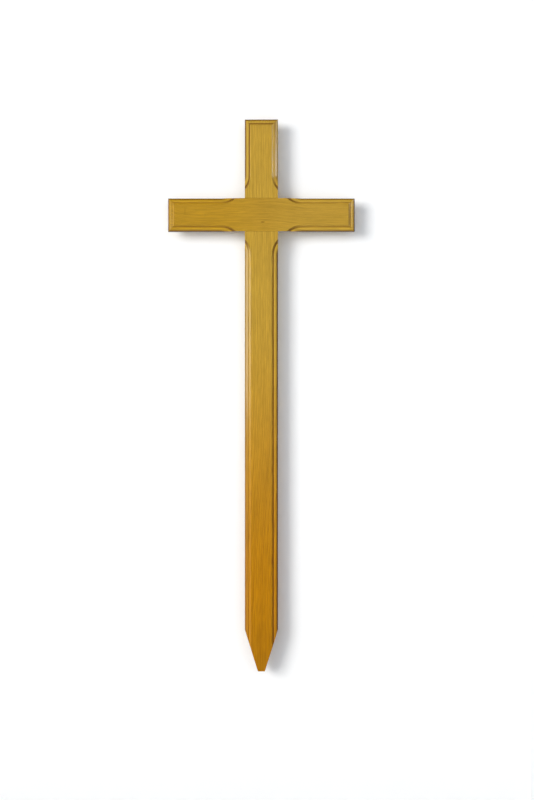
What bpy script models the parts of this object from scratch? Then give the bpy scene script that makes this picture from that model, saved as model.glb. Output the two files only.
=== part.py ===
# Wooden grave cross: a post with a sawn stake point and a crossbar, two flat boards
# halved into each other, with a stopped moulding routed along the edges of the front.
#
# Metres, +Z up. The front faces -Y and +X is to the right of someone who looks at it.
# The origin is on the post's axis, in the middle of its thickness, at the ground line.

import math

import bmesh
import bpy
from mathutils import Matrix, Vector

# The boards
cross_height = 1.200        # from the cut end of the stake to the top
board_width = 0.072         # the post and the crossbar are sawn from the same board
board_thickness = 0.022
crossbar_length = 0.406
top_arm_length = 0.172      # the post above the crossbar
ground_depth = 0.300        # the stretch of stake that stands in the ground

# The sawn stake point
point_length = 0.090
point_tip_width = 0.015

# The halved joint
joint_gap = 0.0003          # between touching faces of the two boards

# The moulding, from the flat field outwards: a small step, a cove, a quirk and a bead
arris_step = 0.0006         # square drop at the edge of the field
cove_radius = 0.0045
cove_depth = 0.0030
quirk_width = 0.0008        # the fine groove between cove and bead
quirk_depth = 0.0006
bead_radius = 0.0086
bead_overhang = 0.0002      # of the bead's curve past the side, so that it meets it at an angle

# The moulding runs out sideways before the crossing, on the curve of the round cutter
cutter_radius = 0.048       # at the front face
crossbar_stop = 0.0195      # clear edge between the crossing and the run-out, on the crossbar
post_stop = 0.0175          # the same on the post

# How finely the curves are drawn
cove_steps = 5
bead_steps = 8
run_out_steps = 12
smooth_below = math.radians(20)   # facets that meet flatter than this are shaded as one curve

# How far a cutter reaches past what it cuts
overcut = 0.003

# Honey-coloured stain under clear varnish, as linear colours
post_colour = (0.468, 0.267, 0.030)
crossbar_colour = (0.462, 0.262, 0.032)
varnish_roughness = 0.32

# Sizes that follow from the ones above
half_width = board_width / 2
half_thickness = board_thickness / 2
half_crossbar = crossbar_length / 2
top_z = cross_height - ground_depth
tip_z = -ground_depth
crossing_z = top_z - top_arm_length - half_width
bead_inset = bead_radius - bead_overhang
cove_inset = bead_inset + quirk_width
cove_angle = math.acos(1 - cove_depth / cove_radius)
moulding_width = cove_inset + cove_radius * math.sin(cove_angle)
spindle_offset = cutter_radius - moulding_width   # from the edge out to the cutter's axis
run_out_length = math.sqrt(cutter_radius ** 2 - spindle_offset ** 2)
run_out_angle = math.acos((spindle_offset - 2 * overcut) / cutter_radius)

rightwards = Vector((1, 0, 0))
upwards = Vector((0, 0, 1))
out_of_front = Vector((0, -1, 0))
sides = (("left", -1), ("right", 1))


def clear_scene():
    for obj in list(bpy.data.objects):
        bpy.data.objects.remove(obj, do_unlink=True)


def new_collection(name):
    collection = bpy.data.collections.new(name)
    bpy.context.scene.collection.children.link(collection)
    return collection


def new_object(name, bm, collection):
    mesh = bpy.data.meshes.new(name)
    bm.to_mesh(mesh)
    bm.free()
    obj = bpy.data.objects.new(name, mesh)
    collection.objects.link(obj)
    return obj


def varnished_wood(name, colour):
    material = bpy.data.materials.new(name)
    material.use_nodes = True
    shader = material.node_tree.nodes["Principled BSDF"]
    shader.inputs["Base Color"].default_value = (*colour, 1)
    shader.inputs["Roughness"].default_value = varnish_roughness
    shader.inputs["Metallic"].default_value = 0
    material.diffuse_color = (*colour, 1)
    return material


def smoothing_nodes():
    """Shades every face smooth and every edge sharper than smooth_below sharp."""
    tree = bpy.data.node_groups.new("smooth_curves", "GeometryNodeTree")
    tree.interface.new_socket("Geometry", in_out="INPUT", socket_type="NodeSocketGeometry")
    tree.interface.new_socket("Geometry", in_out="OUTPUT", socket_type="NodeSocketGeometry")
    entry = tree.nodes.new("NodeGroupInput")
    faces = tree.nodes.new("GeometryNodeSetShadeSmooth")
    edges = tree.nodes.new("GeometryNodeSetShadeSmooth")
    edges.domain = "EDGE"
    edges.inputs["Shade Smooth"].default_value = False
    angle = tree.nodes.new("GeometryNodeInputMeshEdgeAngle")
    sharper = tree.nodes.new("FunctionNodeCompare")
    sharper.operation = "GREATER_THAN"
    sharper.inputs["B"].default_value = smooth_below
    leave = tree.nodes.new("NodeGroupOutput")
    tree.links.new(angle.outputs["Unsigned Angle"], sharper.inputs["A"])
    tree.links.new(sharper.outputs["Result"], edges.inputs["Selection"])
    tree.links.new(entry.outputs["Geometry"], faces.inputs["Geometry"])
    tree.links.new(faces.outputs["Geometry"], edges.inputs["Geometry"])
    tree.links.new(edges.outputs["Geometry"], leave.inputs["Geometry"])
    return tree


def box(low, high):
    bm = bmesh.new()
    bmesh.ops.create_cube(bm, size=1)
    low, high = Vector(low), Vector(high)
    bmesh.ops.scale(bm, vec=high - low, verts=bm.verts)
    bmesh.ops.translate(bm, vec=(low + high) / 2, verts=bm.verts)
    return bm


def extruded(bm, face, move):
    """Extrudes one face by a move and returns its new corners."""
    made = bmesh.ops.extrude_face_region(bm, geom=[face])
    corners = [item for item in made["geom"] if isinstance(item, bmesh.types.BMVert)]
    bmesh.ops.translate(bm, vec=move, verts=corners)
    return corners


def cut_away(board, name, bm):
    """Cuts a shape, given in the board's own coordinates, out of the board."""
    cutter = new_object(name, bm, cutters)
    cutter.parent = board
    cutter.hide_render = True
    cutter.display_type = "WIRE"
    modifier = board.modifiers.new(name, "BOOLEAN")
    modifier.operation = "DIFFERENCE"
    modifier.solver = "EXACT"
    modifier.object = cutter


def moulding_profile():
    """The cutter's section as (inset from the board's edge, depth below its front) points."""
    crest_depth = arris_step + cove_depth
    points = [(-overcut, -overcut), (moulding_width, -overcut)]
    for i in range(cove_steps + 1):
        turn = cove_angle * (1 - i / cove_steps)
        inset = cove_inset + cove_radius * math.sin(turn)
        points.append((inset, crest_depth - cove_radius * (1 - math.cos(turn))))
    points.append((bead_inset + quirk_width / 2, crest_depth + quirk_depth))
    for i in range(bead_steps + 1):
        turn = math.pi / 2 * i / bead_steps
        inset = bead_inset - bead_radius * math.sin(turn)
        points.append((inset, crest_depth + bead_radius * (1 - math.cos(turn))))
    points.append((-overcut, crest_depth + bead_radius))
    return points


def moulding_pass(start, along, inward, length, stopped):
    """The space that the moulding cutter clears in one pass. It starts at a point of the board's
    front edge and runs along the edge. Where it is stopped, it also swings out of the board
    round the spindle at its start."""
    bm = bmesh.new()
    section = bm.faces.new([bm.verts.new((0, inset, -depth)) for inset, depth in moulding_profile()])
    if stopped:
        bmesh.ops.spin(
            bm,
            geom=[section],
            cent=(0, -spindle_offset, 0),
            axis=(0, 0, 1),
            angle=run_out_angle,
            steps=run_out_steps,
            use_duplicate=False,
        )
    extruded(bm, section, (length, 0, 0))
    if stopped:
        bmesh.ops.delete(bm, geom=[section], context="FACES_ONLY")
    placed = Matrix((along, inward, out_of_front)).transposed().to_4x4()
    placed.translation = start
    bmesh.ops.transform(bm, matrix=placed, verts=bm.verts)
    bmesh.ops.recalc_face_normals(bm, faces=bm.faces)
    return bm


def front_point(x, z):
    return Vector((x, -half_thickness, z))


def build_post(material):
    """The upright board, with its origin at the ground line."""
    bm = box(
        (-half_width, -half_thickness, tip_z + point_length),
        (half_width, half_thickness, top_z),
    )
    lower_end = min(bm.faces, key=lambda face: face.calc_center_median().z)
    tip = extruded(bm, lower_end, (0, 0, -point_length))
    bmesh.ops.delete(bm, geom=[lower_end], context="FACES_ONLY")
    bmesh.ops.scale(bm, vec=(point_tip_width / board_width, 1, 1), verts=tip)
    post = new_object("post", bm, parts)
    post.data.materials.append(material)

    straight_from = half_width + post_stop + run_out_length   # from the crossing's centre
    arm_start = crossing_z + straight_from
    lower_start = crossing_z - straight_from
    for side, sideways in sides:
        edge_x = sideways * half_width
        inward = -sideways * rightwards
        arm_run = top_z - arm_start + overcut
        cut_away(
            post,
            f"top_arm_{side}_moulding",
            moulding_pass(front_point(edge_x, arm_start), upwards, inward, arm_run, True),
        )
        lower_run = lower_start - tip_z + overcut
        cut_away(
            post,
            f"lower_{side}_moulding",
            moulding_pass(front_point(edge_x, lower_start), -upwards, inward, lower_run, True),
        )
    end_start = front_point(-half_width - overcut, top_z)
    cut_away(
        post,
        "top_end_moulding",
        moulding_pass(end_start, rightwards, -upwards, board_width + 2 * overcut, False),
    )
    cut_away(
        post,
        "post_halving",
        box(
            (-half_width - overcut, -half_thickness - overcut, crossing_z - half_width - joint_gap),
            (half_width + overcut, joint_gap / 2, crossing_z + half_width + joint_gap),
        ),
    )
    return post


def build_crossbar(material):
    """The board across, with its origin at the centre of the crossing."""
    bm = box(
        (-half_crossbar, -half_thickness, -half_width),
        (half_crossbar, half_thickness, half_width),
    )
    crossbar = new_object("crossbar", bm, parts)
    crossbar.location = (0, 0, crossing_z)
    crossbar.data.materials.append(material)

    straight_from = half_width + crossbar_stop + run_out_length
    arm_run = half_crossbar - straight_from + overcut
    for side, sideways in sides:
        outward = sideways * rightwards
        for edge, up in (("top", 1), ("bottom", -1)):
            start = front_point(sideways * straight_from, up * half_width)
            cut_away(
                crossbar,
                f"{side}_arm_{edge}_moulding",
                moulding_pass(start, outward, -up * upwards, arm_run, True),
            )
        end_start = front_point(sideways * half_crossbar, -half_width - overcut)
        cut_away(
            crossbar,
            f"{side}_end_moulding",
            moulding_pass(end_start, upwards, -outward, board_width + 2 * overcut, False),
        )
    cut_away(
        crossbar,
        "crossbar_halving",
        box(
            (-half_width - joint_gap, -joint_gap / 2, -half_width - overcut),
            (half_width + joint_gap, half_thickness + overcut, half_width + overcut),
        ),
    )
    return crossbar


clear_scene()
parts = new_collection("wooden_grave_cross")
cutters = new_collection("cutters")
boards = (
    build_post(varnished_wood("varnished_wood_post", post_colour)),
    build_crossbar(varnished_wood("varnished_wood_crossbar", crossbar_colour)),
)
smooth_curves = smoothing_nodes()
for board in boards:
    board.modifiers.new("smooth_curves", "NODES").node_group = smooth_curves
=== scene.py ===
import math

import bmesh
import bpy
from mathutils import Matrix, Vector


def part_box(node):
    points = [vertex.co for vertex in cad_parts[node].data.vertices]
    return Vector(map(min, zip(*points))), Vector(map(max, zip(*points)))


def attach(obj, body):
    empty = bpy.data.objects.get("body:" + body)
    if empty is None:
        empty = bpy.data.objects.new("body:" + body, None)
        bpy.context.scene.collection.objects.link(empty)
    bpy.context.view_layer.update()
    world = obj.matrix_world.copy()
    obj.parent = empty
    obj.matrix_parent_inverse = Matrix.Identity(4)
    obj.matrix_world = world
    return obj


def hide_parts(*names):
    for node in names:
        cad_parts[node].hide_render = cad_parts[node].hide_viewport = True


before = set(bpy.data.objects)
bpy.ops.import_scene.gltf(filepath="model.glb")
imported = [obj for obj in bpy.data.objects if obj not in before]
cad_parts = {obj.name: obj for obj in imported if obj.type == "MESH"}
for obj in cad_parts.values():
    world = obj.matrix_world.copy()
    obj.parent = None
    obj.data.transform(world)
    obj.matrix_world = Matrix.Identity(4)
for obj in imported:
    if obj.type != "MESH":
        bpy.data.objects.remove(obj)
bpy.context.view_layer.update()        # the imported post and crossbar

# Wooden grave cross, +Z up, with its moulded front towards -Y. Sizes are in millimetres
# and turned to metres where they are used. The boards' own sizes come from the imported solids.
mm = 0.001
hair = 0.1 * mm          # places nearer than this count as one

postLow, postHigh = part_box("post")
barLow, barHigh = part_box("crossbar")
frontFace = barLow.y
backFace = barHigh.y
halfWidth = (barHigh.z - barLow.z) / 2
crossing = Vector((0, 0, (barHigh.z + barLow.z) / 2))

rightwards = Vector((1, 0, 0))
upwards = Vector((0, 0, 1))
outOfFront = Vector((0, -1, 0))


def makeActive(piece):
    bpy.ops.object.select_all(action="DESELECT")
    piece.select_set(True)
    bpy.context.view_layer.objects.active = piece


# Selects the faces or edges whose middle passes the test, in edit mode.
def selectByPlace(kind, wanted):
    bpy.ops.mesh.select_mode(type=kind)
    bpy.ops.mesh.select_all(action="DESELECT")
    mesh = bpy.context.object.data
    bm = bmesh.from_edit_mesh(mesh)
    if kind == "FACE":
        for face in bm.faces:
            face.select_set(wanted(face.calc_center_median(), face))
    else:
        for edge in bm.edges:
            edge.select_set(wanted((edge.verts[0].co + edge.verts[1].co) / 2, edge))
    bmesh.update_edit_mesh(mesh)


# The moulding cutter's section, from the flat field outwards: an eased step, a cove, a quirk
# and a bead.
mouldingSizes = {
    "easedArris": 0.25,        # radius of the round between the field and the step
    "step": 0.6,
    "coveRadius": 4.5,
    "coveDepth": 3.0,
    "quirkWidth": 0.8,
    "quirkDepth": 0.6,
    "beadRadius": 8.6,
    "beadOverhang": 0.2,       # of the bead's curve past the side of the board
    "cutterRadius": 48.0,      # of the round cutter at the front face
    "crossbarStop": 19.5,      # clear edge between the crossing and the run-out
    "postStop": 17.5,
    "overcut": 3.0,            # how far the cutter reaches past what it cuts
    "passLength": 1150.0,      # longer than the longest edge that it follows
}
# How finely the curves are drawn.
curveSteps = {"easedArris": 8, "cove": 9, "bead": 12, "runOut": 24, "easedEdge": 3}
arrisStart = math.radians(15)    # slope at which the eased arris leaves the field


def sizesInMetres(sizes):
    return {name: value * mm for name, value in sizes.items()}


moulding = sizesInMetres(mouldingSizes)
crestDepth = moulding["step"] + moulding["coveDepth"]
beadInset = moulding["beadRadius"] - moulding["beadOverhang"]
coveInset = beadInset + moulding["quirkWidth"]
coveAngle = math.acos(1 - moulding["coveDepth"] / moulding["coveRadius"])
mouldingWidth = coveInset + moulding["coveRadius"] * math.sin(coveAngle)
mouldingDepth = crestDepth + moulding["beadRadius"]
spindleOffset = moulding["cutterRadius"] - mouldingWidth   # from the edge out to the spindle
runOutLength = math.sqrt(moulding["cutterRadius"] ** 2 - spindleOffset ** 2)
runOutAngle = math.acos((spindleOffset - 2 * moulding["overcut"]) / moulding["cutterRadius"])


# Draws the section vertex by vertex in the plane x = 0, with the inset from the board's edge
# along y and the height over its front along z, then sweeps it along the edge.
def modelCutter():
    over = moulding["overcut"]
    ease = moulding["easedArris"]
    corner = Vector((0, mouldingWidth + ease, -ease))    # centre of the eased arris
    easeTop = corner + ease * Vector((0, -math.sin(arrisStart), math.cos(arrisStart)))
    rampTop = easeTop + 2 * ease * Vector((0, math.cos(arrisStart), math.sin(arrisStart)))

    bpy.ops.object.select_all(action="DESELECT")
    bpy.ops.mesh.primitive_plane_add(size=mm, location=(0, -over, over))
    cutter = bpy.context.object
    cutter.name = "mouldingCutter"
    bpy.ops.object.transform_apply(location=True, rotation=True, scale=True)
    bpy.ops.object.mode_set(mode="EDIT")
    bpy.ops.mesh.select_mode(type="VERT")
    bpy.ops.mesh.merge(type="CENTER")
    pen = Vector((0, -over, over))

    # each stroke is a straight line, or an arc of so many steps about a centre
    quirkMiddle = beadInset + moulding["quirkWidth"] / 2
    quirkBottom = Vector((0, quirkMiddle, -crestDepth - moulding["quirkDepth"]))
    coveCentre = Vector((0, coveInset, moulding["coveRadius"] - crestDepth))
    beadCentre = Vector((0, beadInset, -mouldingDepth))
    strokes = (
        ("line", Vector((0, rampTop.y, over))),
        ("line", rampTop),
        ("line", easeTop),
        ("arc", corner, math.pi / 2 - arrisStart, curveSteps["easedArris"]),
        ("line", Vector((0, mouldingWidth, -moulding["step"]))),
        ("arc", coveCentre, -coveAngle, curveSteps["cove"]),
        ("line", quirkBottom),
        ("line", Vector((0, beadInset, -crestDepth))),
        ("arc", beadCentre, math.pi / 2, curveSteps["bead"]),
        ("line", Vector((0, -over, -mouldingDepth))),
    )
    # the spin operator counts angles the other way round than Matrix.Rotation
    for stroke in strokes:
        if stroke[0] == "line":
            step = stroke[1] - pen
            bpy.ops.mesh.extrude_region_move(TRANSFORM_OT_translate={"value": step})
            pen = stroke[1]
        else:
            centre, turn, steps = stroke[1:]
            bpy.ops.mesh.spin(steps=steps, angle=-turn, center=centre, axis=rightwards)
            pen = centre + Matrix.Rotation(turn, 3, rightwards) @ (pen - centre)
    bpy.ops.mesh.select_all(action="SELECT")
    bpy.ops.mesh.edge_face_add()

    sweep = moulding["passLength"] * rightwards
    bpy.ops.mesh.extrude_region_move(TRANSFORM_OT_translate={"value": sweep})
    selectByPlace("FACE", lambda middle, face: abs(middle.x) < hair)
    spindle = (0, -spindleOffset, 0)
    steps = curveSteps["runOut"]
    bpy.ops.mesh.spin(steps=steps, angle=-runOutAngle, center=spindle, axis=upwards)
    bpy.ops.mesh.select_all(action="DESELECT")
    bpy.ops.mesh.select_interior_faces()
    bpy.ops.mesh.delete(type="ONLY_FACE")
    bpy.ops.mesh.select_all(action="SELECT")
    bpy.ops.mesh.normals_make_consistent(inside=False)
    bpy.ops.object.mode_set(mode="OBJECT")
    return cutter


# Cuts the shape out of the board and throws the shape away.
def cutAway(board, shape):
    makeActive(board)
    cut = board.modifiers.new(shape.name, "BOOLEAN")
    cut.operation = "DIFFERENCE"
    cut.solver = "EXACT"
    cut.object = shape
    bpy.ops.object.modifier_apply(modifier=cut.name)
    bpy.data.objects.remove(shape, do_unlink=True)


# One pass of the cutter: it swings out of the board's edge at start, then follows the edge.
def cutMoulding(board, cutter, start, along, inward):
    cutterPass = cutter.copy()
    cutterPass.data = cutter.data.copy()
    bpy.context.collection.objects.link(cutterPass)
    turn = Matrix((along, inward, outOfFront)).transposed().to_4x4()
    cutterPass.matrix_world = Matrix.Translation(start) @ turn
    makeActive(cutterPass)
    bpy.ops.object.transform_apply(location=True, rotation=True, scale=True)
    bpy.ops.object.mode_set(mode="EDIT")
    bpy.ops.mesh.select_all(action="SELECT")
    bpy.ops.mesh.normals_make_consistent(inside=False)
    bpy.ops.object.mode_set(mode="OBJECT")
    cutAway(board, cutterPass)


def addBox(name, low, high):
    low, high = Vector(low), Vector(high)
    bpy.ops.object.select_all(action="DESELECT")
    bpy.ops.mesh.primitive_cube_add(size=1, location=(low + high) / 2)
    box = bpy.context.object
    box.name = name
    box.scale = high - low
    bpy.ops.object.transform_apply(location=True, rotation=True, scale=True)
    return box


# Sands the edges of a board a little round, apart from where the other board meets them flush.
def easeEdges(board, radius, flushEdge):
    def sharp(middle, edge):
        return edge.calc_face_angle(0) > flatBelow and not flushEdge(middle)

    makeActive(board)
    bpy.ops.object.mode_set(mode="EDIT")
    selectByPlace("EDGE", sharp)
    steps = curveSteps["easedEdge"]
    bpy.ops.mesh.bevel(offset=radius, segments=steps, profile=roundProfile, affect="EDGES")
    bpy.ops.object.mode_set(mode="OBJECT")


def splitAt(board, place, normal):
    makeActive(board)
    bpy.ops.object.mode_set(mode="EDIT")
    bpy.ops.mesh.select_all(action="SELECT")
    bpy.ops.mesh.bisect(plane_co=place, plane_no=normal)
    bpy.ops.object.mode_set(mode="OBJECT")


boardSizes = {
    "easedEdge": 0.4,
    "jointGap": 0.3,           # between touching faces of the two boards
    "pointLength": 90.0,       # of the sawn stake point
    "pointTipWidth": 15.0,
    "overcut": 3.0,            # how far the notches' shapes reach past the boards
}
boards = sizesInMetres(boardSizes)
flatBelow = 0.1                # radians between two faces that count as one flat
roundProfile = 0.5             # the bevel operator's shape for a round
smoothBelow = math.radians(10.5)    # faces that meet flatter than this are one curve


def modelPost(cutter):
    gap, over = boards["jointGap"], boards["overcut"]
    shoulder = postLow.z + boards["pointLength"]
    straightLow = (-halfWidth, frontFace, shoulder)
    post = addBox("mouldedPost", straightLow, (halfWidth, backFace, postHigh.z))

    bpy.ops.object.mode_set(mode="EDIT")
    selectByPlace("FACE", lambda middle, face: middle.z < shoulder + mm)
    downwards = -boards["pointLength"] * upwards
    bpy.ops.mesh.extrude_region_move(TRANSFORM_OT_translate={"value": downwards})
    narrowing = boards["pointTipWidth"] / (2 * halfWidth)
    bpy.ops.transform.resize(value=(narrowing, 1, 1), center_override=(0, 0, postLow.z))
    bpy.ops.object.mode_set(mode="OBJECT")

    for up in (-1, 1):
        splitAt(post, crossing + up * (halfWidth + gap) * upwards, upwards)
    easeEdges(post, boards["easedEdge"], lambda middle: abs(middle.z - crossing.z) < halfWidth)

    straightFrom = halfWidth + moulding["postStop"] + runOutLength
    for side in (-1, 1):
        edge = Vector((side * halfWidth, frontFace, crossing.z))
        for up in (1, -1):
            start = edge + up * straightFrom * upwards
            cutMoulding(post, cutter, start, up * upwards, -side * rightwards)
    beforeEnd = Vector((-halfWidth - 2 * runOutLength, frontFace, postHigh.z))
    cutMoulding(post, cutter, beforeEnd, rightwards, -upwards)

    notchLow = (-halfWidth - over, frontFace - over, crossing.z - halfWidth - gap)
    notchHigh = (halfWidth + over, gap / 2, crossing.z + halfWidth + gap)
    cutAway(post, addBox("postNotch", notchLow, notchHigh))
    return post


def modelCrossbar(cutter):
    gap, over = boards["jointGap"], boards["overcut"]
    crossbar = addBox("mouldedCrossbar", barLow, barHigh)
    for side in (-1, 1):
        splitAt(crossbar, crossing + side * (halfWidth + gap) * rightwards, rightwards)
    easeEdges(crossbar, boards["easedEdge"], lambda middle: abs(middle.x) < halfWidth)

    straightFrom = halfWidth + moulding["crossbarStop"] + runOutLength
    for side in (-1, 1):
        for up in (1, -1):
            start = Vector((side * straightFrom, frontFace, crossing.z + up * halfWidth))
            cutMoulding(crossbar, cutter, start, side * rightwards, -up * upwards)
        beforeEnd = Vector((side * barHigh.x, frontFace, barLow.z - 2 * runOutLength))
        cutMoulding(crossbar, cutter, beforeEnd, upwards, -side * rightwards)

    notchLow = (-halfWidth - gap, -gap / 2, barLow.z - over)
    notchHigh = (halfWidth + gap, backFace + over, barHigh.z + over)
    cutAway(crossbar, addBox("crossbarNotch", notchLow, notchHigh))
    return crossbar


# How much of the darker colour a face that isn't routed has: stain on the field and the sawn
# faces, stain and painted shade on the sides.
plainStainAndShade = {"field": 0.16, "side": 0.6, "sawn": 0.4}
# In the moulding it is stain and painted shade, set by the way that the routed edge faces: the
# share on the steep half of the cove, on its deep half, on the bead's crest and on the bead's
# outside.
routedStainAndShade = {
    "topArm": {
        "left": (0.0, 0.75, 0.1, 1.0), "right": (0.0, 0.0, 0.35, 0.1),
        "up": (0.1, 0.65, 0.15, 1.0),
    },
    "arms": {
        "left": (0.0, 0.05, 0.1, 0.6), "right": (0.1, 0.4, 0.0, 0.7),
        "up": (0.0, 0.35, 0.05, 1.0), "down": (0.05, 0.5, 0.0, 0.85),
    },
    "stake": {"left": (0.1, 0.05, 0.25, 0.5), "right": (0.0, 0.75, 0.0, 1.0)},
    "runOut": (0.65, 0.85, 0.1, 0.6),
}
# Where one share goes over into the next.
stainAndShadeBorders = {
    "slantPull": 1.4,         # how soon a slanting face takes the shares of the run-out
    "deepHalf": 0.8,          # of the crest's depth, from which the cove counts as deep
    "quirk": 0.4,             # share of the deep half's stain and painted shade that the quirk has
    "outside": (0.08, 0.5),   # of the bead's radius below its crest, where its outside comes in
}
# The faces are told apart by how steep they are: 0 along the board's front, 1 square to it.
faceSlopes = {"field": 0.0001, "quirk": 0.3, "sawn": 0.9, "side": 0.99}


# Where the moulding runs out sideways, its shares go over into those of the run-out.
def routedShares(face):
    stretch = "arms"
    if abs(face.center.z - crossing.z) > halfWidth:
        stretch = "topArm" if face.center.z > crossing.z else "stake"
    across, along = abs(face.normal.x), abs(face.normal.z)
    if across > along:
        side = "right" if face.normal.x > 0 else "left"
    else:
        side = "up" if face.normal.z > 0 else "down"
    straight = routedStainAndShade[stretch].get(side, routedStainAndShade["runOut"])
    slant = min(1, stainAndShadeBorders["slantPull"] * min(across, along) / max(across, along, 0.001))
    return [share + slant * (end - share) for share, end in zip(straight, routedStainAndShade["runOut"])]


def slopeOf(face):
    return 1 - abs(face.normal.y)


def isSawn(face):
    return face.center.z < postLow.z + boards["pointLength"] and slopeOf(face) > faceSlopes["sawn"]


# The share of the dark colour on a face: stain, with painted shade in the moulding and on the
# sides.
def stainAndShadeOn(face):
    depth = face.center.y - frontFace
    slope = slopeOf(face)
    if isSawn(face):
        return plainStainAndShade["sawn"]
    if slope > faceSlopes["side"] and depth > crestDepth:
        return plainStainAndShade["side"]
    if depth < hair / 2 or depth > mouldingDepth or slope < faceSlopes["field"]:
        return plainStainAndShade["field"]
    steepShare, deepShare, crestShare, outsideShare = routedShares(face)
    if depth < crestDepth:
        return deepShare if depth > stainAndShadeBorders["deepHalf"] * crestDepth else steepShare
    if depth < crestDepth + moulding["quirkDepth"] and slope > faceSlopes["quirk"]:
        return stainAndShadeBorders["quirk"] * deepShare
    low, high = stainAndShadeBorders["outside"]
    belowCrest = (depth - crestDepth) / moulding["beadRadius"]
    outside = min(1, max(0, belowCrest - low) / (high - low))
    return crestShare + (outsideShare - crestShare) * outside


# Marks the stain with its painted shade, and the saw's work, on the faces, and shades only the
# shallow angles between them smooth.
def finishBoard(board):
    makeActive(board)
    bpy.ops.object.mode_set(mode="EDIT")
    bpy.ops.mesh.select_all(action="SELECT")
    bpy.ops.mesh.remove_doubles(threshold=hair / 100)
    bpy.ops.object.mode_set(mode="OBJECT")
    bpy.ops.object.shade_smooth_by_angle(angle=smoothBelow)
    stainAndShade = board.data.attributes.new("stainAndShade", "FLOAT", "FACE")
    sawn = board.data.attributes.new("sawn", "FLOAT", "FACE")
    for face in board.data.polygons:
        stainAndShade.data[face.index].value = stainAndShadeOn(face)
        sawn.data[face.index].value = float(isSawn(face))


mouldingCutter = modelCutter()
post = modelPost(mouldingCutter)
crossbar = modelCrossbar(mouldingCutter)
bpy.data.objects.remove(mouldingCutter, do_unlink=True)
for board in (post, crossbar):
    finishBoard(board)
faceCounts = [len(board.data.polygons) for board in (post, crossbar)]
print("boards: sawn, moulded and halved,", faceCounts, "faces")


def srgbHex(code):
    channels = [int(code[i:i + 2], 16) / 255 for i in (0, 2, 4)]
    return [c / 12.92 if c <= 0.04045 else ((c + 0.055) / 1.055) ** 2.4 for c in channels] + [1]


def addNode(tree, kind, settings=None, inputs=None):
    node = tree.nodes.new(kind)
    for name, value in (settings or {}).items():
        setattr(node, name, value)
    for name, value in (inputs or {}).items():
        if isinstance(value, bpy.types.NodeSocket):
            tree.links.new(value, node.inputs[name])
        else:
            node.inputs[name].default_value = value
    return node


# The post's board was sawn far from the pith, so its rings show as fine straight lines.
postWood = {
    "name": "honeyVarnishedPostWood",
    "early": ("c8a237", "c38600"),   # soft spring wood under the stain, upper and lower; the upper paler, partly as painted sheen
    "late": ("a47d1e", "9a5900"),    # dense summer wood, the same
    "paleFrom": 560,                 # height from which the post has its upper colour
    "darkFrom": -150,                # and below which it has its lower one
    "ringSpacing": 2.4,
    "pith": (-105, 85, 0),           # across the board, through it, along it
    "lean": (0.0, 0.010, 0.0),       # of the trunk against the board
    "boardTurn": (0, 0, 0),          # that brings the length of the board to Z
    "boardPlace": (0, 0, 0),
    "swaySize": (50, 50, 240),
    "sway": 1.6,                     # how far the rings wander
    "drifts": ((-260, 420, 30),),    # the grain runs aside by so much between two heights
    "foot": (-170, -290, 0.14),      # heights between which the stake grows darker towards its tip, and by how much
    "knots": (
        # the grain only parts a little here: places and sizes are along the board, then across
        {"at": (140, 6), "reach": (60, 9), "pull": 0.3, "core": (3, 1.2), "dark": 0.0},
    ),
    "ringContrast": 0.48,
}

# The crossbar's board was sawn nearer the bark side, so its rings run in wide slow curves.
crossbarWood = {
    "name": "honeyVarnishedCrossbarWood",
    "early": ("c19b33", "bf941b"),   # towards the right end and towards the left end
    "late": ("9b761e", "956a0f"),
    "paleFrom": 120,
    "darkFrom": -120,
    "ringSpacing": 2.9,
    "pith": (110, 85, 0),
    "lean": (0.0, 0.004, 0.0),
    "boardTurn": (0, -math.pi / 2, 0),          # along the board is +X, across it -Z
    "boardPlace": (crossing.z / mm, 0, 0),
    "swaySize": (45, 45, 130),
    "sway": 1.8,
    "drifts": ((15, 110, 7), (-215, -165, 9)),
    "foot": (0, 1, 0),                          # it has none
    "knots": (
        # a darker patch round the crossing, a pin knot low in it and a mark near the left end
        {"at": (2, 0), "reach": (1, 1), "pull": 0, "core": (38, 50), "dark": 0.05},
        {"at": (3, 16), "reach": (30, 13), "pull": 0.5, "core": (5.4, 1.15), "dark": 0.85},
        {"at": (-166, -8), "reach": (12, 12), "pull": 0.1, "core": (2.2, 9), "dark": 0.16},
    ),
    "ringContrast": 0.31,
}

# What both boards share, in millimetres where it is a length.
woodFinish = {
    # width and length of the fine streaks: real fibre is too fine to show, so they are coarser
    "fibre": (1.5, 30),
    "fibreContrast": 0.18,
    "band": (5.5, 260),              # of the broader streaks
    "bandContrast": 0.05,
    "pore": (0.35, 5.0),             # of the short dark dashes
    "poreContrast": 0.22,
    "poreNoise": (0.62, 0.74),       # of the noise, between which a pore opens
    "cloud": 45,                     # size of the slow unevenness of the stain
    "cloudContrast": 0.05,
    "noiseMiddle": (0.25, 0.75),     # the span that nearly all of the noise stays in
    "goodYears": (0.4, 2.4),         # how often the growth changes, and by how many rings
    "summer": (0.2, 0.86),           # of the year, in which the wood grows darker
    "winter": (0.88, 1.0),
    "yearContrast": (0.4, 1.4),      # of the weakest and the strongest year
    # the dark colour that is mixed in, for stain and for painted shade
    "stainAndShadeColour": "5a2e00",
    "endGrain": "7c4d10",
    "endGrainSlope": (0.55, 0.95),   # how far a face has to look along the board to be end grain
    "endGrainShare": 0.7,
    "knotBark": "5b3206",
    "knotEdge": (0.5, 1.2),          # of the knot's size, between which it ends
    "roughness": 0.45,
    "ior": 1.5,
    "specular": 0.05,                # nearly all of the gloss is the varnish's
    "coat": 0.9,
    "coatRoughness": 0.12,
    "grainHeight": 0.03,             # of rings, fibre and pores
    "sawMark": 1.3,                  # spacing of the blade's marks on the sawn point
    "sawDepth": 0.05,
    "woodBump": 0.6,
    "filmBump": 0.05,
}
# settings that many nodes share
smoothly = {"interpolation_type": "SMOOTHSTEP"}
asColour = {"data_type": "RGBA"}
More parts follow.
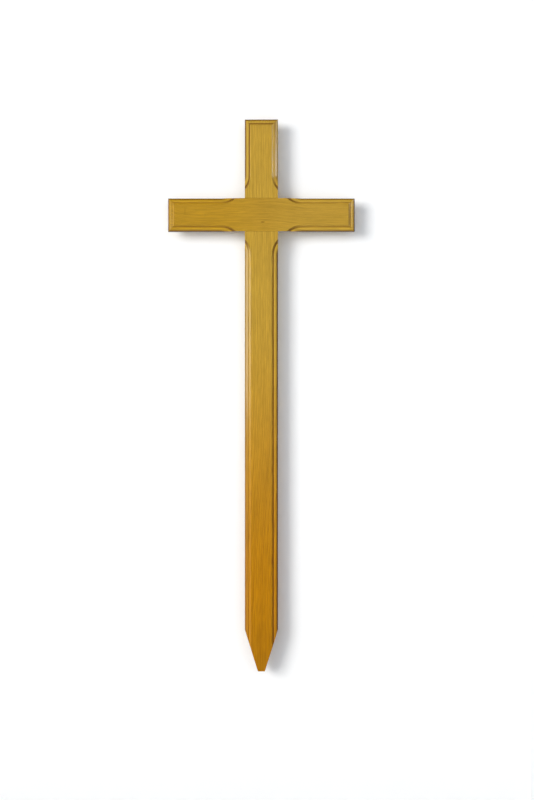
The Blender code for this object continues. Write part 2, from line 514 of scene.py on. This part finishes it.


# Straight-grained board wood, planed, sanded, stained honey and varnished satin: fine darker
# lines of summer wood in a warm ground, streaky fibre, short pores, and stain with painted shade
# in the routed edge, all under a clear film that mirrors the room softly.
def honeyVarnishedWood(look):
    finish = woodFinish
    material = bpy.data.materials.new(look["name"])
    material.use_nodes = True
    tree = material.node_tree
    shader = tree.nodes["Principled BSDF"]

    objectPlace = addNode(tree, "ShaderNodeTexCoord")
    board = addNode(tree, "ShaderNodeMapping", {}, {
        "Vector": objectPlace.outputs["Object"],
        "Rotation": look["boardTurn"],
        "Location": Vector(look["boardPlace"]) * mm,
    })
    boardPlace = addNode(tree, "ShaderNodeSeparateXYZ", {}, {"Vector": board.outputs["Vector"]})
    alongBoard = boardPlace.outputs["Z"]
    grain = board.outputs["Vector"]

    # the grain runs aside where the trunk was bent
    for low, high, rise in look["drifts"]:
        drift = addNode(tree, "ShaderNodeMapRange", smoothly, {
            "Value": alongBoard, "From Min": low * mm, "From Max": high * mm, "To Max": rise * mm,
        })
        aside = addNode(tree, "ShaderNodeCombineXYZ", {}, {"X": drift.outputs["Result"]})
        driftedGrain = addNode(tree, "ShaderNodeVectorMath", {"operation": "SUBTRACT"}, {
            0: grain, 1: aside.outputs["Vector"],
        })
        grain = driftedGrain.outputs["Vector"]

    # it flows round knots, which are dark themselves
    knotMask = None
    for knot in look["knots"]:
        along, across = knot["at"]
        toKnot = addNode(tree, "ShaderNodeVectorMath", {"operation": "SUBTRACT"}, {
            0: board.outputs["Vector"], 1: (across * mm, 0, along * mm),
        })
        reachAlong, reachAcross = knot["reach"]
        inReach = addNode(tree, "ShaderNodeVectorMath", {"operation": "MULTIPLY"}, {
            0: toKnot.outputs["Vector"], 1: (1 / (reachAcross * mm), 0, 1 / (reachAlong * mm)),
        })
        away = addNode(tree, "ShaderNodeVectorMath", {"operation": "LENGTH"}, {
            0: inReach.outputs["Vector"],
        })
        pull = addNode(tree, "ShaderNodeMapRange", {"interpolation_type": "SMOOTHERSTEP"}, {
            "Value": away.outputs["Value"], "To Min": -knot["pull"], "To Max": 0,
        })
        sideways = addNode(tree, "ShaderNodeVectorMath", {"operation": "MULTIPLY"}, {
            0: toKnot.outputs["Vector"], 1: (1, 0, 0),
        })
        pulled = addNode(tree, "ShaderNodeVectorMath", {"operation": "SCALE"}, {
            0: sideways.outputs["Vector"], "Scale": pull.outputs["Result"],
        })
        flowingGrain = addNode(tree, "ShaderNodeVectorMath", {"operation": "ADD"}, {
            0: grain, 1: pulled.outputs["Vector"],
        })
        grain = flowingGrain.outputs["Vector"]

        coreAlong, coreAcross = knot["core"]
        inCore = addNode(tree, "ShaderNodeVectorMath", {"operation": "MULTIPLY"}, {
            0: toKnot.outputs["Vector"], 1: (1 / (coreAcross * mm), 0, 1 / (coreAlong * mm)),
        })
        fromCore = addNode(tree, "ShaderNodeVectorMath", {"operation": "LENGTH"}, {
            0: inCore.outputs["Vector"],
        })
        core = addNode(tree, "ShaderNodeMapRange", smoothly, {
            "Value": fromCore.outputs["Value"],
            "From Min": finish["knotEdge"][0], "From Max": finish["knotEdge"][1],
            "To Min": knot["dark"], "To Max": 0,
        })
        if knotMask:
            bothKnots = addNode(tree, "ShaderNodeMath", {"operation": "MAXIMUM"}, {
                0: knotMask, 1: core.outputs["Result"],
            })
            knotMask = bothKnots.outputs["Value"]
        else:
            knotMask = core.outputs["Result"]

    # and it sways slowly along the trunk: the noise leaves its middle by about a quarter
    wander = 4 * look["sway"] * mm
    swayPlace = addNode(tree, "ShaderNodeMapping", {}, {
        "Vector": board.outputs["Vector"], "Scale": [1 / (size * mm) for size in look["swaySize"]],
    })
    swayNoise = addNode(tree, "ShaderNodeTexNoise", {}, {
        "Vector": swayPlace.outputs["Vector"], "Scale": 1, "Detail": 1.5, "Roughness": 0.4,
    })
    swayAround = addNode(tree, "ShaderNodeVectorMath", {"operation": "SUBTRACT"}, {
        0: swayNoise.outputs["Color"], 1: (0.5, 0.5, 0.5),
    })
    swayed = addNode(tree, "ShaderNodeVectorMath", {"operation": "MULTIPLY_ADD"}, {
        0: swayAround.outputs["Vector"], 1: (wander, wander, 0), 2: grain,
    })

    # growth rings about the pith, dark and narrow where each year's growth ends
    trunk = addNode(tree, "ShaderNodeMapping", {}, {
        "Vector": swayed.outputs["Vector"], "Rotation": look["lean"],
        "Location": -Vector(look["pith"]) * mm,
    })
    acrossTrunk = addNode(tree, "ShaderNodeVectorMath", {"operation": "MULTIPLY"}, {
        0: trunk.outputs["Vector"], 1: (1, 1, 0),
    })
    fromPith = addNode(tree, "ShaderNodeVectorMath", {"operation": "LENGTH"}, {
        0: acrossTrunk.outputs["Vector"],
    })
    years = addNode(tree, "ShaderNodeMath", {"operation": "DIVIDE"}, {
        0: fromPith.outputs["Value"], 1: look["ringSpacing"] * mm,
    })
    goodYears = addNode(tree, "ShaderNodeTexNoise", {"noise_dimensions": "1D"}, {
        "W": years.outputs["Value"], "Scale": finish["goodYears"][0], "Detail": 1,
    })
    unevenYears = addNode(tree, "ShaderNodeMath", {"operation": "MULTIPLY_ADD"}, {
        0: goodYears.outputs["Fac"], 1: finish["goodYears"][1], 2: years.outputs["Value"],
    })
    season = addNode(tree, "ShaderNodeMath", {"operation": "FRACT"}, {
        0: unevenYears.outputs["Value"],
    })
    year = addNode(tree, "ShaderNodeMath", {"operation": "FLOOR"}, {
        0: unevenYears.outputs["Value"],
    })
    summer = addNode(tree, "ShaderNodeMapRange", smoothly, {
        "Value": season.outputs["Value"],
        "From Min": finish["summer"][0], "From Max": finish["summer"][1],
    })
    winter = addNode(tree, "ShaderNodeMapRange", smoothly, {
        "Value": season.outputs["Value"],
        "From Min": finish["winter"][0], "From Max": finish["winter"][1],
        "To Min": 1, "To Max": 0,
    })
    lateWood = addNode(tree, "ShaderNodeMath", {"operation": "MULTIPLY"}, {
        0: summer.outputs["Result"], 1: winter.outputs["Result"],
    })
    yearStrength = addNode(tree, "ShaderNodeTexWhiteNoise", {"noise_dimensions": "1D"}, {
        "W": year.outputs["Value"],
    })
    yearContrast = addNode(tree, "ShaderNodeMapRange", {}, {
        "Value": yearStrength.outputs["Value"],
        "To Min": finish["yearContrast"][0] * look["ringContrast"],
        "To Max": finish["yearContrast"][1] * look["ringContrast"],
    })
    ring = addNode(tree, "ShaderNodeMath", {"operation": "MULTIPLY"}, {
        0: lateWood.outputs["Value"], 1: yearContrast.outputs["Result"],
    })

    # the ground colour changes slowly along the board; on the post the paler upper colour is
    # partly a painted sheen of the varnish
    pale = addNode(tree, "ShaderNodeMapRange", smoothly, {
        "Value": alongBoard, "From Min": look["darkFrom"] * mm, "From Max": look["paleFrom"] * mm,
    })
    earlyColour = addNode(tree, "ShaderNodeMix", asColour, {
        0: pale.outputs["Result"], 6: srgbHex(look["early"][1]), 7: srgbHex(look["early"][0]),
    })
    lateColour = addNode(tree, "ShaderNodeMix", asColour, {
        0: pale.outputs["Result"], 6: srgbHex(look["late"][1]), 7: srgbHex(look["late"][0]),
    })
    ringColour = addNode(tree, "ShaderNodeMix", asColour, {
        0: ring.outputs["Value"], 6: earlyColour.outputs[2], 7: lateColour.outputs[2],
    })

    # fibre streaks, broader bands and clouds in the stain make it lighter and darker
    shade = None
    fibre, band, cloud = finish["fibre"], finish["band"], finish["cloud"]
    streaks = (
        ((fibre[0], fibre[0], fibre[1]), finish["fibreContrast"]),
        ((band[0], band[0], band[1]), finish["bandContrast"]),
        ((cloud, cloud, 2 * cloud), finish["cloudContrast"]),
    )
    streakNoises = []
    for size, contrast in streaks:
        streakPlace = addNode(tree, "ShaderNodeMapping", {}, {
            "Vector": swayed.outputs["Vector"], "Scale": [1 / (length * mm) for length in size],
        })
        streak = addNode(tree, "ShaderNodeTexNoise", {}, {
            "Vector": streakPlace.outputs["Vector"], "Scale": 1, "Detail": 2, "Roughness": 0.5,
        })
        streakNoises.append(streak.outputs["Fac"])
        lightness = addNode(tree, "ShaderNodeMapRange", {}, {
            "Value": streak.outputs["Fac"],
            "From Min": finish["noiseMiddle"][0], "From Max": finish["noiseMiddle"][1],
            "To Min": 1 - contrast, "To Max": 1 + contrast,
        })
        if shade:
            bothShades = addNode(tree, "ShaderNodeMath", {"operation": "MULTIPLY"}, {
                0: shade, 1: lightness.outputs["Result"],
            })
            shade = bothShades.outputs["Value"]
        else:
            shade = lightness.outputs["Result"]
    fibreNoise, bandNoise = streakNoises[:2]

    poreWidth, poreLength = finish["pore"]
    porePlace = addNode(tree, "ShaderNodeMapping", {}, {
        "Vector": swayed.outputs["Vector"],
        "Scale": [1 / (length * mm) for length in (poreWidth, poreWidth, poreLength)],
    })
    poreNoise = addNode(tree, "ShaderNodeTexNoise", {}, {
        "Vector": porePlace.outputs["Vector"], "Scale": 1, "Detail": 1,
    })
    pore = addNode(tree, "ShaderNodeMapRange", smoothly, {
        "Value": poreNoise.outputs["Fac"],
        "From Min": finish["poreNoise"][0], "From Max": finish["poreNoise"][1],
    })
    poreShade = addNode(tree, "ShaderNodeMath", {"operation": "MULTIPLY_ADD"}, {
        0: pore.outputs["Result"], 1: -finish["poreContrast"], 2: 1,
    })
    fullShade = addNode(tree, "ShaderNodeMath", {"operation": "MULTIPLY"}, {
        0: shade, 1: poreShade.outputs["Value"],
    })
    shadedWood = addNode(tree, "ShaderNodeVectorMath", {"operation": "SCALE"}, {
        0: ringColour.outputs[2], "Scale": fullShade.outputs["Value"],
    })
    knottedWood = addNode(tree, "ShaderNodeMix", asColour, {
        0: knotMask, 6: shadedWood.outputs["Vector"], 7: srgbHex(finish["knotBark"]),
    })

    # end grain drinks more stain
    geometry = addNode(tree, "ShaderNodeNewGeometry")
    boardNormal = addNode(tree, "ShaderNodeMapping", {"vector_type": "NORMAL"}, {
        "Vector": geometry.outputs["Normal"], "Rotation": look["boardTurn"],
    })
    facing = addNode(tree, "ShaderNodeSeparateXYZ", {}, {"Vector": boardNormal.outputs["Vector"]})
    alongNormal = addNode(tree, "ShaderNodeMath", {"operation": "ABSOLUTE"}, {
        0: facing.outputs["Z"],
    })
    endFace = addNode(tree, "ShaderNodeMapRange", smoothly, {
        "Value": alongNormal.outputs["Value"],
        "From Min": finish["endGrainSlope"][0], "From Max": finish["endGrainSlope"][1],
        "To Max": finish["endGrainShare"],
    })
    endedWood = addNode(tree, "ShaderNodeMix", asColour, {
        0: endFace.outputs["Result"], 6: knottedWood.outputs[2], 7: srgbHex(finish["endGrain"]),
    })

    # the routed faces and the sides are darker by stain and painted shade, and the stake grows
    # darker towards its tip
    stainAndShade = addNode(tree, "ShaderNodeAttribute", {"attribute_name": "stainAndShade"})
    footFrom, footTo, footShare = look["foot"]
    foot = addNode(tree, "ShaderNodeMapRange", smoothly, {
        "Value": alongBoard, "From Min": footFrom * mm, "From Max": footTo * mm,
        "To Max": footShare,
    })
    allStainAndShade = addNode(tree, "ShaderNodeMath", {"operation": "ADD"}, {
        0: stainAndShade.outputs["Fac"], 1: foot.outputs["Result"],
    })
    # this mix paints the moulding's shade along with the stain
    stainedAndShadedWood = addNode(tree, "ShaderNodeMix", asColour, {
        0: allStainAndShade.outputs["Value"], 6: endedWood.outputs[2], 7: srgbHex(finish["stainAndShadeColour"]),
    })
    tree.links.new(stainedAndShadedWood.outputs[2], shader.inputs["Base Color"])

    # raised summer wood, fibre and pores under the varnish, and a softer copy of them in it
    grainHeight = finish["grainHeight"] * mm
    ringHeight = addNode(tree, "ShaderNodeMath", {"operation": "MULTIPLY"}, {
        0: lateWood.outputs["Value"], 1: grainHeight,
    })
    fibreHeight = addNode(tree, "ShaderNodeMath", {"operation": "MULTIPLY_ADD"}, {
        0: fibreNoise, 1: grainHeight, 2: ringHeight.outputs["Value"],
    })
    poreHeight = addNode(tree, "ShaderNodeMath", {"operation": "MULTIPLY_ADD"}, {
        0: pore.outputs["Result"], 1: -grainHeight, 2: fibreHeight.outputs["Value"],
    })
    # the saw has left fine ribs across the faces of the point
    sawn = addNode(tree, "ShaderNodeAttribute", {"attribute_name": "sawn"})
    sawStroke = addNode(tree, "ShaderNodeMath", {"operation": "MULTIPLY_ADD"}, {
        0: alongBoard, 1: 2 * math.pi / (finish["sawMark"] * mm), 2: bandNoise,
    })
    rib = addNode(tree, "ShaderNodeMath", {"operation": "SINE"}, {0: sawStroke.outputs["Value"]})
    ribDepth = addNode(tree, "ShaderNodeMath", {"operation": "MULTIPLY"}, {
        0: sawn.outputs["Fac"], 1: finish["sawDepth"] * mm,
    })
    ribbedHeight = addNode(tree, "ShaderNodeMath", {"operation": "MULTIPLY_ADD"}, {
        0: rib.outputs["Value"], 1: ribDepth.outputs["Value"], 2: poreHeight.outputs["Value"],
    })
    woodBump = addNode(tree, "ShaderNodeBump", {}, {
        "Strength": finish["woodBump"], "Distance": 1.0,
        "Height": ribbedHeight.outputs["Value"],
    })
    filmBump = addNode(tree, "ShaderNodeBump", {}, {
        "Strength": finish["filmBump"], "Distance": 1.0,
        "Height": fibreHeight.outputs["Value"],
    })
    tree.links.new(woodBump.outputs["Normal"], shader.inputs["Normal"])
    tree.links.new(filmBump.outputs["Normal"], shader.inputs["Coat Normal"])
    shader.inputs["Roughness"].default_value = finish["roughness"]
    shader.inputs["IOR"].default_value = finish["ior"]
    shader.inputs["Specular IOR Level"].default_value = finish["specular"]
    shader.inputs["Coat Weight"].default_value = finish["coat"]
    shader.inputs["Coat Roughness"].default_value = finish["coatRoughness"]
    shader.inputs["Coat IOR"].default_value = finish["ior"]
    return material


post.data.materials.append(honeyVarnishedWood(postWood))
crossbar.data.materials.append(honeyVarnishedWood(crossbarWood))
for board, node in ((post, "post"), (crossbar, "crossbar")):
    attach(board, "root")
    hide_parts(node)
print("materials: honey stain and satin varnish on both boards")


# The photograph is 800 pixels high, and the cross 551 of them. The long lens draws it flat.
photo = {
    "height": 800,
    "width": 534,
    "crossTopPixel": 119.6,
    "crossTipPixel": 670.7,
    "postMiddlePixel": 261.4,
    "lens": 85.0,              # millimetres, as is the sensor
    "sensor": 36.0,
}
metresPerPixel = (postHigh.z - postLow.z) / (photo["crossTipPixel"] - photo["crossTopPixel"])
viewCentre = Vector((
    (photo["width"] / 2 - photo["postMiddlePixel"]) * metresPerPixel,
    0,
    postHigh.z - (photo["height"] / 2 - photo["crossTopPixel"]) * metresPerPixel,
))
viewDistance = photo["height"] * metresPerPixel * photo["lens"] / photo["sensor"]

stageSizes = {
    "wallGap": 35.0,           # between the cross's back and the paper behind it
    "floorBelow": 300.0,       # under the stake's tip
    "paperWidth": 9000.0,
    "paperHeight": 5000.0,
    "floorDepth": 2000.0,      # from the paper towards the viewer
}
stage = sizesInMetres(stageSizes)
stageLook = {"paper": "f8fbff", "floor": "d8d6d2", "floorRoughness": 0.9}

paper = bpy.data.materials.new("whitePaper")
paper.use_nodes = True
tree = paper.node_tree
paperShader = tree.nodes["Principled BSDF"]
paperShader.inputs["Base Color"].default_value = srgbHex(stageLook["paper"])
paperShader.inputs["Roughness"].default_value = 1.0
paperShader.inputs["Specular IOR Level"].default_value = 0.0
# seen from behind the paper isn't there, so that the cross's back can be looked at
paperSide = addNode(tree, "ShaderNodeNewGeometry")
seeThrough = addNode(tree, "ShaderNodeBsdfTransparent")
paperMix = addNode(tree, "ShaderNodeMixShader", {}, {
    0: paperSide.outputs["Backfacing"],
    1: paperShader.outputs["BSDF"], 2: seeThrough.outputs["BSDF"],
})
tree.links.new(paperMix.outputs["Shader"], tree.nodes["Material Output"].inputs["Surface"])

floorHeight = postLow.z - stage["floorBelow"]
wallPlace = backFace + stage["wallGap"]
bpy.ops.object.select_all(action="DESELECT")
bpy.ops.mesh.primitive_plane_add(
    size=1,
    location=(0, wallPlace, floorHeight + stage["paperHeight"] / 2),
    rotation=(math.pi / 2, 0, 0),
)
paperWall = bpy.context.object
paperWall.name = "paperWall"
paperWall.scale = (stage["paperWidth"], stage["paperHeight"], 1)
floorMiddle = (0, wallPlace - stage["floorDepth"] / 2, floorHeight)
bpy.ops.mesh.primitive_plane_add(size=1, location=floorMiddle)
paleFloor = bpy.context.object
paleFloor.name = "paleFloor"
paleFloor.scale = (stage["paperWidth"], stage["floorDepth"], 1)
paperWall.data.materials.append(paper)
floorPaint = bpy.data.materials.new("paleFloorPaint")
floorPaint.use_nodes = True
floorShader = floorPaint.node_tree.nodes["Principled BSDF"]
floorShader.inputs["Base Color"].default_value = srgbHex(stageLook["floor"])
floorShader.inputs["Roughness"].default_value = stageLook["floorRoughness"]
paleFloor.data.materials.append(floorPaint)
for ground in (paperWall, paleFloor):
    ground.visible_glossy = False    # the varnish mirrors only the room and its windows


# A soft light from far away that the varnish doesn't mirror.
def addSun(name, look):
    data = bpy.data.lights.new(name, "SUN")
    data.angle = math.radians(look["spread"])
    data.energy = look["strength"]
    data.color = srgbHex(look["colour"])[:3]
    data.use_shadow = look.get("shadow", True)
    sun = bpy.data.objects.new(name, data)
    sun.rotation_euler = Vector(look["direction"]).to_track_quat("-Z", "Y").to_euler()
    sun.visible_glossy = False
    bpy.context.collection.objects.link(sun)


softLights = {
    # from the left and a little above, it throws the shadow to the right
    "softKey": {
        "direction": (0.72, 1.0, -0.22), "spread": 26, "strength": 2.11, "colour": "fffaf2",
    },
    # wider and from the front, into the shadow too
    "frontFill": {
        "direction": (-0.06, 1.0, -0.06), "spread": 60, "strength": 0.9, "colour": "f9fbff",
    },
    # on the backs of the boards, as if the paper weren't there
    "backFill": {
        "direction": (0, -1.0, -0.12), "spread": 60, "strength": 0.5, "colour": "f6faff",
        "shadow": False,
    },
}
for name, look in softLights.items():
    addSun(name, look)


# A window that only the varnish mirrors. Its place is given from the camera's: to the right of
# it, towards the cross and above it. It turns to the cross, and its sides stay upright.
def addWindow(name, look):
    place = viewCentre + viewDistance * outOfFront + Vector(look["fromCamera"])
    data = bpy.data.lights.new(name, "AREA")
    data.shape = "RECTANGLE"
    data.size, data.size_y = look["size"]
    data.energy = look["watts"]
    window = bpy.data.objects.new(name, data)
    bpy.context.collection.objects.link(window)
    window.location = place
    aim = Vector((viewCentre.x, viewCentre.y, place.z))
    window.rotation_euler = (aim - place).to_track_quat("-Z", "Y").to_euler()
    window.visible_camera = False
    window.visible_diffuse = False


windows = {
    # in the left cove and bead of the post, below the crossbar only
    "leftWindow": {"fromCamera": (-2.45, 2.05, 0.284), "size": (4.5, 0.685), "watts": 38},
    # in the right side of the top arm only, the second one farther round its bead
    "rightWindow": {"fromCamera": (2.45, 2.05, 0.9), "size": (4.5, 0.22), "watts": 20},
    "sideWindow": {"fromCamera": (3.0, 3.6, 1.06), "size": (1.8, 0.5), "watts": 9},
}
for name, look in windows.items():
    addWindow(name, look)

# The room that the varnish mirrors: its strength from the far left to the far right, where
# 0.5 is straight in front of the cross, and dimmer round the camera.
room = {
    "across": ((0.0, 0.5), (0.3, 0.42), (0.5, 0.35), (0.62, 0.3), (0.88, 0.15)),
    "strength": 1.08,
    "colour": "f6faff",
    "overhead": (0.35, 0.95),      # heights of a direction between which it grows dim
    "overheadDim": 0.25,
    "cameraCorner": (0.975, 0.99),    # how straight at the camera a direction is there
    "corner": (0.02, 0.45),        # the corner's strength, at the lower and the upper height
    "cornerHeights": (-0.09, 0.07),
    "seen": 1.0,                   # what the camera sees of the room, past the paper
}
world = bpy.data.worlds.new("paleRoom")
world.use_nodes = True
tree = world.node_tree
background = tree.nodes["Background"]
towards = addNode(tree, "ShaderNodeTexCoord")
direction = addNode(tree, "ShaderNodeSeparateXYZ", {}, {"Vector": towards.outputs["Generated"]})
across = addNode(tree, "ShaderNodeMapRange", {}, {"Value": direction.outputs["X"], "From Min": -1})
acrossRamp = addNode(tree, "ShaderNodeValToRGB", {}, {"Fac": across.outputs["Result"]})
stops = acrossRamp.color_ramp.elements
stops.remove(stops[1])
for i, (position, strength) in enumerate(room["across"]):
    stop = stops[0] if i == 0 else stops.new(position)
    stop.position = position
    stop.color = (strength, strength, strength, 1)
forward = addNode(tree, "ShaderNodeMath", {"operation": "MULTIPLY"}, {
    0: direction.outputs["Y"], 1: -1,
})
inCorner = addNode(tree, "ShaderNodeMapRange", smoothly, {
    "Value": forward.outputs["Value"],
    "From Min": room["cameraCorner"][0], "From Max": room["cameraCorner"][1],
})
cornerLight = addNode(tree, "ShaderNodeMapRange", smoothly, {
    "Value": direction.outputs["Z"],
    "From Min": room["cornerHeights"][0], "From Max": room["cornerHeights"][1],
    "To Min": room["corner"][0], "To Max": room["corner"][1],
})
corner = addNode(tree, "ShaderNodeMix", {"data_type": "FLOAT"}, {
    0: inCorner.outputs["Result"], 2: 1.0, 3: cornerLight.outputs["Result"],
})
overhead = addNode(tree, "ShaderNodeMapRange", smoothly, {
    "Value": direction.outputs["Z"],
    "From Min": room["overhead"][0], "From Max": room["overhead"][1],
    "To Min": room["strength"], "To Max": room["strength"] * room["overheadDim"],
})
level = addNode(tree, "ShaderNodeMath", {"operation": "MULTIPLY"}, {
    0: acrossRamp.outputs["Color"], 1: overhead.outputs["Result"],
})
roomLight = addNode(tree, "ShaderNodeMath", {"operation": "MULTIPLY"}, {
    0: level.outputs["Value"], 1: corner.outputs[0],
})
ray = addNode(tree, "ShaderNodeLightPath")
roomStrength = addNode(tree, "ShaderNodeMix", {"data_type": "FLOAT"}, {
    0: ray.outputs["Is Camera Ray"], 2: roomLight.outputs["Value"], 3: room["seen"],
})
tree.links.new(roomStrength.outputs[0], background.inputs["Strength"])
background.inputs["Color"].default_value = srgbHex(room["colour"])
bpy.context.scene.world = world
bpy.context.scene.view_settings.view_transform = "Standard"
bpy.context.scene.view_settings.look = "None"

viewPoint = viewCentre + viewDistance * outOfFront
bpy.ops.object.camera_add(location=viewPoint, rotation=(math.pi / 2, 0, 0))
camera = bpy.context.object
camera.name = "photoCamera"
camera.data.lens = photo["lens"]
camera.data.sensor_width = photo["sensor"]
bpy.context.scene.camera = camera
print("stage: paper, floor,", len(softLights), "soft lights,", len(windows), "windows, camera")
